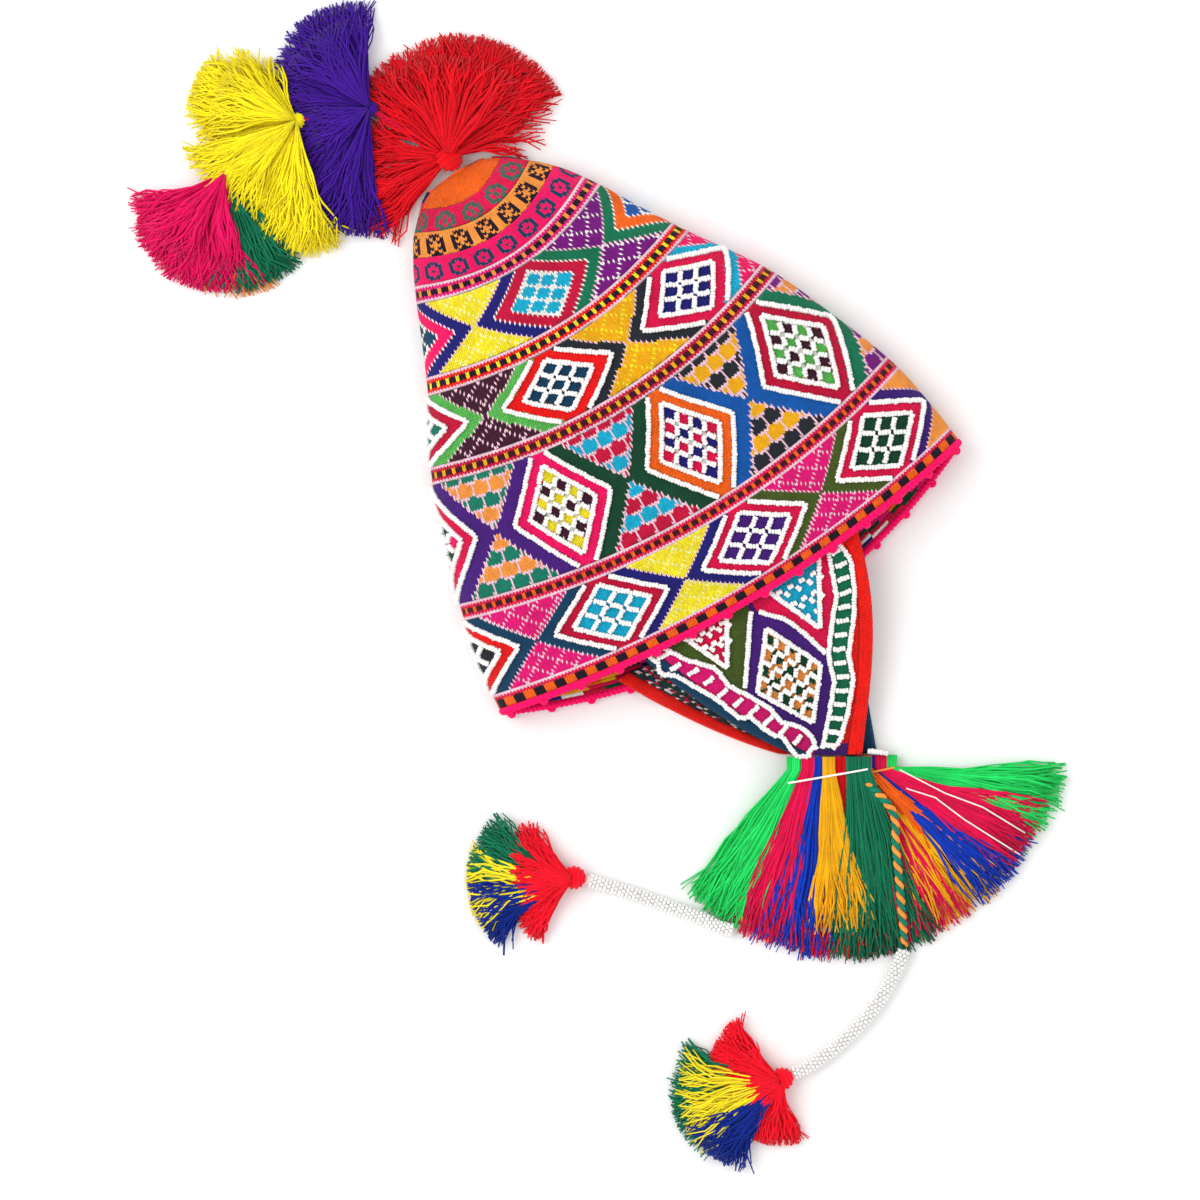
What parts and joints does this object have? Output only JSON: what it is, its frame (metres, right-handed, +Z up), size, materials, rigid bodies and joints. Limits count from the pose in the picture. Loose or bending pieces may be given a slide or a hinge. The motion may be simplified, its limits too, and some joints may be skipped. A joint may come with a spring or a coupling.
{
  "type": "chullo hat",
  "caption": "Knitted Andean cap with ear flaps lying on its side: tassels along a string at its tip, and a fringe and a beaded tie with a pompom at each flap.",
  "frame": {"origin": "on the resting plane, midway between the two folds of the rim, on the flat underside of the crown as it lies", "axes": "+Z up from the resting plane, +Y along the crown from its mouth to its tip, +X to the right of the mouth seen from above with the tip away from the viewer"},
  "size_m": [0.3268, 0.6005, 0.0338],
  "materials": {
    "crown_knit": "fine knitted wool in many colours",
    "edging_yarn": "crocheted wool",
    "flap_knit": "fine knitted wool in many colours, with seed beads",
    "red_band_yarn": "crocheted wool",
    "blue_band_yarn": "crocheted wool",
    "near_fringe_yarn": "loose wool strands",
    "far_fringe_yarn": "loose wool strands",
    "red_yarn": "loose wool strands",
    "purple_yarn": "loose wool strands",
    "yellow_yarn": "loose wool strands",
    "magenta_yarn": "loose wool strands",
    "string_yarn": "twisted wool",
    "left_tie_yarn": "twisted wool",
    "right_tie_yarn": "twisted wool",
    "seed_beads": "glossy opaque seed beads",
    "left_pompom_yarn": "loose wool strands",
    "right_pompom_yarn": "loose wool strands"
  },
  "bodies": {
    "root": {"crown": "crown_knit", "rim_edging": "edging_yarn", "near_ear_flap": "flap_knit", "near_red_band": "red_band_yarn", "near_blue_band": "blue_band_yarn", "far_ear_flap": "flap_knit", "far_red_band": "red_band_yarn", "far_blue_band": "blue_band_yarn", "near_flap_tassel": "near_fringe_yarn", "far_flap_tassel": "far_fringe_yarn", "red_tassel": "red_yarn", "purple_tassel": "purple_yarn", "yellow_tassel": "yellow_yarn", "magenta_tassel": "magenta_yarn", "purple_tassel_string": "string_yarn", "yellow_tassel_string": "string_yarn", "magenta_tassel_string": "string_yarn", "left_tie": "left_tie_yarn", "right_tie": "right_tie_yarn", "left_beaded_rope": "seed_beads", "right_beaded_rope": "seed_beads", "left_pompom": "left_pompom_yarn", "right_pompom": "right_pompom_yarn"}
  },
  "joints": []
}
